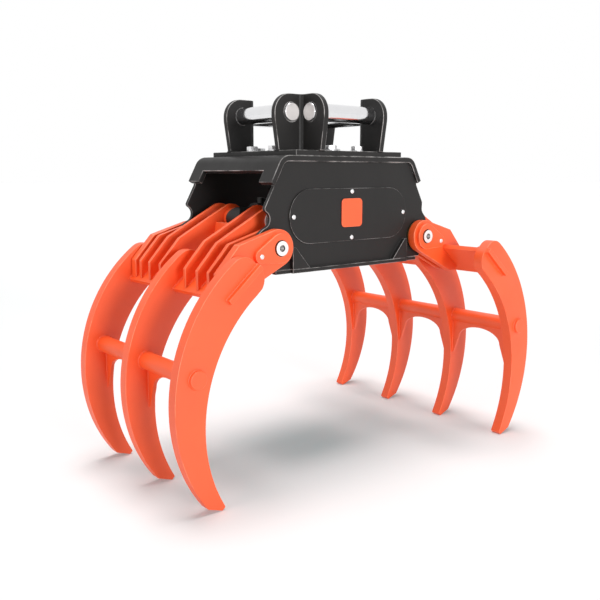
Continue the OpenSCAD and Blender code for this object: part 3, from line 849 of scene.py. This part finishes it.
@dataclass
class Housing(SubAssembly):
    """The black box of the grab: side plates, bent cover, bottom plate, gussets and access covers."""

    face_y: float = 0.200
    low_z: float = 0.597
    gusset_x: Pair = (0.168, 0.231)
    gusset_top: float = 0.658
    weld_r: float = 0.0022
    weld_inset: float = 0.002
    slope_inset: float = 0.010
    screw_face: float = 0.204
    screw_spots: tuple[Pair, ...] = ((0.0, 0.806), (0.0, 0.673), (0.22, 0.7395), (-0.22, 0.7395))
    inside: Pair = (0.25, 0.195)
    plate_faces: Pair = (0.188, 0.200)
    pivot: Pair = PIVOT
    lobe_r: float = 0.056
    lobe_z: Pair = (0.6680, 0.7150)
    notch: Pair = (0.322, 0.7364)
    notch_r: float = 0.023494
    notch_x: float = 0.29
    corner: Pair = (0.3062, 0.765)
    corner_r: float = 0.00918
    corner_x: float = 0.30
    corner_top: float = 0.7619
    line_width: float = 0.0008
    cheek_r: float = 0.0632
    cheek_front: tuple[Pair, ...] = (
        (0.3143, 0.7460), (0.3158, 0.7395), (0.3198, 0.7330), (0.3290, 0.7240), (0.3333, 0.7165))
    cheek_top: float = -20.0
    cheek_arc: Pair = (48.6, 20.0)
    cheek_foot: float = 7.0

    def build(self) -> None:
        """Dresses the plates of the housing and sets its screws and welds."""
        for node in ("front_side_plate", "rear_side_plate"):
            self.shop.dress(node, BLACK, replace(PLATE_EDGE, spare=self.stays_sharp))
        for node in ("bottom_plate", "stop_gussets"):
            self.shop.dress(node, BLACK, PLATE_EDGE)
        self.add_cheeks()
        self.shop.dress("top_cover", BLACK, COVER_EDGE)
        for node in ("front_access_cover", "rear_access_cover"):
            self.shop.dress(node, BLACK, THIN_EDGE)
        self.shop.dress("badge_plate", ORANGE, THIN_EDGE)
        self.shop.dress("pivot_bushes", BRONZE, BUSH_EDGE)
        self.set_screws()
        self.lay_welds()

    def stays_sharp(self, point: Vector) -> bool:
        """Says whether a point of a side plate lies under a cheek or inside the box, round an opening."""
        return self.under_cheek(point) or (abs(point.x) < self.inside[0] and abs(point.y) < self.inside[1])

    def on_circle(self, point: Vector, centre: Pair, radius: float) -> bool:
        """Says whether a point lies on a circle about an axis along Y."""
        return abs(math.hypot(point.x - centre[0], point.z - centre[1]) - radius) < self.line_width

    def under_cheek(self, point: Vector) -> bool:
        """Says whether a point lies on the line between a side plate and its cheek.

        Args:
            point: A point of either plate.

        Returns:
            Whether it is on that line.
        """
        on_lobe = (self.on_circle(point, self.pivot, self.lobe_r) and point.x > self.corner_x
                   and self.lobe_z[0] < point.z < self.lobe_z[1])
        on_notch = self.on_circle(point, self.notch, self.notch_r) and point.x > self.notch_x
        on_corner = (self.on_circle(point, self.corner, self.corner_r) and point.x > self.corner_x
                     and point.z < self.corner_top)
        return on_lobe or on_notch or on_corner

    def add_cheeks(self) -> None:
        """Fills the notch over the right-hand pivots, where the plates run straight down to a wider lobe."""
        to_corner, to_notch = (math.degrees(math.atan2(z, x)) for x, z in (
            (self.corner[0] - self.notch[0], self.corner[1] - self.notch[1]),
            (self.notch[0] - self.pivot[0], self.notch[1] - self.pivot[1])))
        outline = [*arc(self.corner, self.corner_r, to_corner - 180.0, self.cheek_top, steps=4),
                   *self.cheek_front,
                   *arc(self.pivot, self.cheek_r, *self.cheek_arc, steps=6),
                   *arc(self.pivot, self.lobe_r, self.cheek_foot, to_notch, steps=12),
                   *arc(self.notch, self.notch_r, to_notch + 180.0, to_corner, steps=16)[1:-1]]
        edge = replace(CHEEK_EDGE, spare=self.under_cheek)
        for word, y in FRONT_AND_REAR:
            faces = (y * self.plate_faces[0], y * self.plate_faces[1])
            self.shop.cut_plate(f"{word}_plate_cheek", "frame", outline, faces, BLACK, edge)

    def set_screws(self) -> None:
        """Sets the socket screws of both access covers."""
        spots = [((x, y * self.screw_face, z), (0.0, y, 0.0))
                 for y in (-1.0, 1.0) for x, z in self.screw_spots]
        self.fasteners.fit("access_cover_screws", "frame", SOCKET_HEAD, spots, ZINC, seed=3,
                           replaced=["access_screws"])

    def lay_welds(self) -> None:
        """Lays the welds along the foot of the side plates and round the gussets."""
        inner, outer = self.gusset_x
        foot_end = inner - self.weld_inset
        foot: Path = [(-foot_end, self.face_y, self.low_z), (foot_end, self.face_y, self.low_z)]
        slope: Path = [(inner, self.face_y, self.low_z),
                       (outer - self.slope_inset, self.face_y, self.gusset_top)]
        paths: list[Path] = []
        for y in (-1.0, 1.0):
            paths.append(mirrored(foot, 1.0, y))
            paths.extend(mirrored(slope, x, y) for x in (-1.0, 1.0))
        self.welds.lay("housing_welds", "frame", paths, BLACK, self.weld_r)


@dataclass
class Headstock(SubAssembly):
    """The two-way coupler head: base plate, four L-shaped lugs, four chrome pins and eight bolts."""

    base_z: float = 0.921
    cover_low: float = 0.890
    lug_in: float = 0.108
    lug_out: float = 0.125
    lug_bend: float = 0.136
    lug_ends: Pair = (0.207, 0.202)
    bend_steps: int = 8
    weld_r: float = 0.0032
    bolt_near: float = 0.052
    bolt_far: float = 0.168

    def build(self) -> None:
        """Dresses the base, lugs and pins, and sets the bolts and welds."""
        self.shop.dress("headstock_base", BLACK, BASE_EDGE)
        for corner in ("front_left", "front_right", "rear_left", "rear_right"):
            self.shop.dress(f"lug_{corner}", BLACK, LUG_EDGE)
        for place in ("left", "right", "front", "rear"):
            self.shop.dress(f"hitch_pin_{place}", CHROME, BAR_EDGE, GROUND)
        self.set_bolts()
        self.lay_welds()

    def set_bolts(self) -> None:
        """Sets the hex heads on the base plate and the nuts under the cover."""
        near, far = self.bolt_near, self.bolt_far
        places = [(s * a, t * b) for a, b in ((near, far), (far, near))
                  for s in (-1.0, 1.0) for t in (-1.0, 1.0)]
        heads = [((x, y, self.base_z), (0.0, 0.0, 1.0)) for x, y in places]
        nuts = [((x, y, self.cover_low), (0.0, 0.0, -1.0)) for x, y in places]
        self.fasteners.fit("headstock_bolt_heads", "frame", HEX_HEAD, heads, ZINC, seed=5,
                           replaced=["headstock_bolts"])
        self.fasteners.fit("headstock_nuts", "frame", HEX_NUT, nuts, ZINC, seed=8)

    def foot_bend(self, radius: float) -> Path:
        """Returns the quarter circle of one face of a lug's bend, at its foot."""
        flat = arc((self.lug_bend, -self.lug_bend), radius, 90.0, 180.0, self.bend_steps)
        return [(x, y, self.base_z) for x, y in flat]

    def lay_welds(self) -> None:
        """Lays a weld round the foot of every lug."""
        near, far, foot = self.lug_in, self.lug_out, self.base_z
        end_x, end_y = self.lug_ends
        outside = self.foot_bend(self.lug_bend - near)
        inside = self.foot_bend(self.lug_bend - far)
        around: Path = [(end_x, -near, foot), *outside, (near, -end_y, foot), (far, -end_y, foot),
                        *reversed(inside), (end_x, -far, foot), (end_x, -near, foot)]
        paths = [mirrored(around, x, y) for x in (-1.0, 1.0) for y in (-1.0, 1.0)]
        self.welds.lay("headstock_welds", "frame", paths, BLACK, self.weld_r)


@dataclass
class Jaw(SubAssembly):
    """One jaw: its tines, arm and lever plates, cross plate, tie bar, webs, keepers and pins."""

    side: Side
    tines: dict[str, float]
    pivot: Pair = PIVOT
    bar: Pair = (0.5810, 0.3609)
    bar_r: float = 0.024
    half_tine: float = 0.016
    web_x: Pair = (0.5670, 0.5770)
    web_z: Pair = (0.229, 0.338)
    keeper_bolt: Pair = (0.360, 0.644)
    keeper_face: float = 0.244
    nipple_face: float = 0.2439
    cross_corner: Pair = (0.385, 0.619)
    cross_angle: float = math.radians(-40.0)
    cross_size: Pair = (0.128, 0.015)
    slot_margin: float = 0.001
    lever_faces: tuple[float, ...] = (0.060, 0.072, 0.121, 0.133, 0.174, 0.186, 0.207)
    lever_reach: Pair = (0.012, 0.108)
    shoulder: tuple[Pair, ...] = (
        (0.322, 0.700), (0.322, 0.725), (0.325, 0.730), (0.330, 0.7316), (0.3978, 0.6927),
        (0.412, 0.680), (0.385, 0.664))
    shoulder_faces: Pair = (0.1745, 0.1855)
    full_weld: float = 0.0028
    light_weld: float = 0.0024

    @property
    def body(self) -> str:
        """The body that this jaw is."""
        return f"{self.side.word}_jaw"

    def build(self) -> None:
        """Dresses the plates of the jaw and sets its fasteners and welds."""
        word = self.side.word
        for name in self.tines:
            self.shop.dress(f"{word}_tine_{name}", ORANGE, replace(JAW_EDGE, spare=self.in_slot))
        for name in ("outer_arm_front", "outer_arm_rear", "keepers"):
            self.shop.dress(f"{word}_{name}", ORANGE, LUG_EDGE)
        for name in ("inner_arms", "outer_levers", "inner_levers", "cross_plate", "lever_web"):
            self.shop.dress(f"{word}_{name}", ORANGE, JAW_EDGE)
        self.shop.dress(f"{word}_webs", ORANGE, WEB_EDGE)
        self.shop.dress(f"{word}_tie_bar", ORANGE, BAR_EDGE)
        self.shop.dress(f"{word}_pivot_pins", TURNED, PIN_EDGE, STEEL)
        self.shop.dress(f"{word}_lever_pin", STEEL, PIN_EDGE)
        if self.side is Side.RIGHT:
            self.add_shoulders()
        self.set_fasteners()
        self.lay_welds()

    def add_shoulders(self) -> None:
        """Adds the high shoulder of both inner arms, which shows over the outer arm."""
        for end, y in FRONT_AND_REAR:
            faces = (y * self.shoulder_faces[0], y * self.shoulder_faces[1])
            name = f"{self.side.word}_arm_shoulder_{end}"
            self.shop.cut_plate(name, self.body, self.shoulder, faces, ORANGE, JAW_EDGE)

    def set_fasteners(self) -> None:
        """Sets the keepers' screws and the grease nipples of the pivot pins."""
        word, sign = self.side.word, float(self.side.value)
        bolts, nipples = ([((sign * x, y * face, z), (0.0, y, 0.0)) for y in (-1.0, 1.0)]
                          for (x, z), face in ((self.keeper_bolt, self.keeper_face),
                                               (self.pivot, self.nipple_face)))
        self.fasteners.fit(f"{word}_keeper_screws", self.body, SOCKET_HEAD, bolts, ZINC, seed=11,
                           replaced=[f"{word}_keeper_bolts"])
        self.fasteners.fit(f"{word}_grease_nipples", self.body, GREASE_NIPPLE, nipples, DULL, seed=13)

    def on_cross(self, along: float, up: float) -> Pair:
        """Returns X and Z of a point of the inclined cross plate, on the right jaw."""
        cos, sin = math.cos(self.cross_angle), math.sin(self.cross_angle)
        return (self.cross_corner[0] + along * cos - up * sin, self.cross_corner[1] + along * sin + up * cos)

    def in_slot(self, point: Vector) -> bool:
        """Says whether a point lies on the edge of a slot that holds the cross plate.

        Args:
            point: A point of a tine.

        Returns:
            Whether it is in the cross plate's section, or within slot_margin of it.
        """
        cos, sin = math.cos(self.cross_angle), math.sin(self.cross_angle)
        x, z = abs(point.x) - self.cross_corner[0], point.z - self.cross_corner[1]
        places = (x * cos + z * sin, z * cos - x * sin)
        return all(-self.slot_margin < place < size + self.slot_margin
                   for place, size in zip(places, self.cross_size))

    def around_cross(self, y: float) -> Path:
        """Draws the outline of the cross plate where it leaves a tine.

        Args:
            y: The tine's face.

        Returns:
            A closed path, on the right jaw.
        """
        long, thick = self.cross_size
        corners = [(0.0, 0.0), (long, 0.0), (long, thick), (0.0, thick), (0.0, 0.0)]
        return [(x, y, z) for x, z in (self.on_cross(a, b) for a, b in corners)]

    def lay_welds(self) -> None:
        """Lays the welds between the tines, the tie bar, the webs, the cross plate and the levers."""
        sign = float(self.side.value)
        faces = sorted(y + step for y in self.tines.values() for step in (-self.half_tine, self.half_tine))
        bar_paths = [ring_about_y(self.bar, y, self.bar_r) for y in faces]
        web_paths: list[Path] = [[(x, y, self.web_z[0]), (x, y, self.web_z[1])]
                                 for y in faces[1:-1] for x in self.web_x]
        cross_paths = [self.around_cross(y) for y in faces]
        lever_paths: list[Path] = []
        for y in self.lever_faces:
            ends = [self.on_cross(along, self.cross_size[1]) for along in self.lever_reach]
            lever_paths.extend([[(x, s * y, z) for x, z in ends] for s in (-1.0, 1.0)])
        for name, paths, throat in (
                ("tie_bar", bar_paths, self.full_weld), ("web", web_paths, self.light_weld),
                ("cross_plate", cross_paths, self.full_weld), ("lever", lever_paths, self.light_weld)):
            turned = [mirrored(path, sign) for path in paths]
            self.welds.lay(f"{self.side.word}_{name}_welds", self.body, turned, ORANGE, throat)


@dataclass
class Cylinder:
    """The hydraulic cylinder between the two levers."""

    shop: Workshop

    def build(self) -> None:
        """Dresses the barrel, its eyes and ports, and the rod."""
        for node in ("barrel", "gland"):
            self.shop.dress(node, BLACK, BARREL_EDGE)
        for node in ("base_eye", "rod_eye"):
            self.shop.dress(node, BLACK, BAR_EDGE)
        self.shop.dress("port_bosses", BLACK, PIN_EDGE)
        self.shop.dress("piston_rod", CHROME, BARREL_EDGE)
        self.shop.dress("piston", STEEL, BUSH_EDGE)


@dataclass(frozen=True)
class PhotoCamera:
    """The camera of the photograph, solved from its straight edges."""

    eye: Point = (-1.5053, -1.7581, 0.8572)
    heading: float = math.radians(-40.08)
    tilt: float = math.radians(-9.76)
    lens: float = 44.126
    sensor: float = 36.0
    sight: float = 200.0

    def place(self) -> None:
        """Adds the camera to the scene and makes it the active one."""
        data = bpy.data.cameras.new("photo_camera")
        data.lens = self.lens
        data.sensor_width = self.sensor
        data.clip_end = self.sight
        camera = add_object("photo_camera", data)
        camera.location = self.eye
        camera.rotation_euler = (math.pi / 2.0 + self.tilt, 0.0, self.heading)
        bpy.context.scene.camera = camera


@dataclass(frozen=True)
class SoftLamp:
    """A wide soft lamp so far away that its light falls from one side."""

    name: str
    strength: float
    spread: float
    comes_from: Point

    def hang(self) -> None:
        """Adds the lamp to the scene."""
        data = bpy.data.lights.new(self.name, "SUN")
        data.energy = self.strength
        data.angle = self.spread
        lamp = add_object(self.name, data)
        lamp.rotation_euler = Vector(self.comes_from).to_track_quat("Z", "Y").to_euler()


@dataclass(frozen=True)
class Studio:
    """A pale floor under a white sky, with soft lamps overhead, in front and from the left."""

    sky: float = 0.22
    lamps: tuple[SoftLamp, ...] = (
        SoftLamp("overhead_lamp", 2.35, math.radians(33.0), (0.05, 0.06, 1.0)),
        SoftLamp("front_lamp", 2.65, math.radians(22.0), (-0.06, -0.98, 0.07)),
        SoftLamp("side_lamp", 1.10, math.radians(36.0), (-1.0, -0.05, 0.14)))
    floor_half: float = 60.0
    floor_roughness: float = 0.9
    floor_colour: Colour = (0.92, 0.80, 0.79)
    floor_lift: Colour = (0.025, 0.16, 0.17)

    def build(self) -> None:
        """Adds the sky, the lamps and the floor."""
        bpy.context.scene.view_settings.view_transform = "Standard"
        self.hang_sky()
        for lamp in self.lamps:
            lamp.hang()
        self.lay_floor()

    def hang_sky(self) -> None:
        """Lights the scene with a white sky that the camera and gloss see at full white."""
        world = bpy.data.worlds.new("white_sky")
        world.use_nodes = True
        bpy.context.scene.world = world
        tree = NodeTree(world.node_tree)
        background = world.node_tree.nodes["Background"]
        background.inputs["Color"].default_value = (1.0, 1.0, 1.0, 1.0)
        tree.feed(background.inputs["Strength"], tree.between(tree.seen(), 0.0, 1.0, self.sky, 1.0))

    def lay_floor(self) -> None:
        """Adds the floor, whose lift keeps its shadow grey beside orange paint."""
        half = self.floor_half
        corners = [(-half, -half, 0.0), (half, -half, 0.0), (half, half, 0.0), (-half, half, 0.0)]
        mesh = bpy.data.meshes.new("studio_floor")
        mesh.from_pydata(corners, [], [(0, 1, 2, 3)])
        material = bpy.data.materials.new("pale_floor")
        material.use_nodes = True
        tree = NodeTree(material.node_tree)
        shader = material.node_tree.nodes["Principled BSDF"]
        shader.inputs["Base Color"].default_value = rgba(self.floor_colour)
        shader.inputs["Roughness"].default_value = self.floor_roughness
        shader.inputs["Specular IOR Level"].default_value = 0.0
        shader.inputs["Emission Color"].default_value = rgba(self.floor_lift)
        tree.feed(shader.inputs["Emission Strength"], tree.seen())
        mesh.materials.append(material)
        add_object("studio_floor", mesh)


def main() -> None:
    """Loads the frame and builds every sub-assembly."""
    logging.basicConfig(level=logging.INFO, format="%(name)s: %(message)s")
    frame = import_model()
    PhotoCamera().place()
    Studio().build()
    shop = Workshop(frame)
    welds = WeldBeads(shop)
    fasteners = Fasteners(shop)
    Housing(shop, welds, fasteners).build()
    Headstock(shop, welds, fasteners).build()
    Jaw(shop, welds, fasteners, Side.LEFT, THREE_TINES).build()
    Jaw(shop, welds, fasteners, Side.RIGHT, FOUR_TINES).build()
    Cylinder(shop).build()
    LOG.info("%d pieces in all", shop.count)


if __name__ == "__main__":
    main()
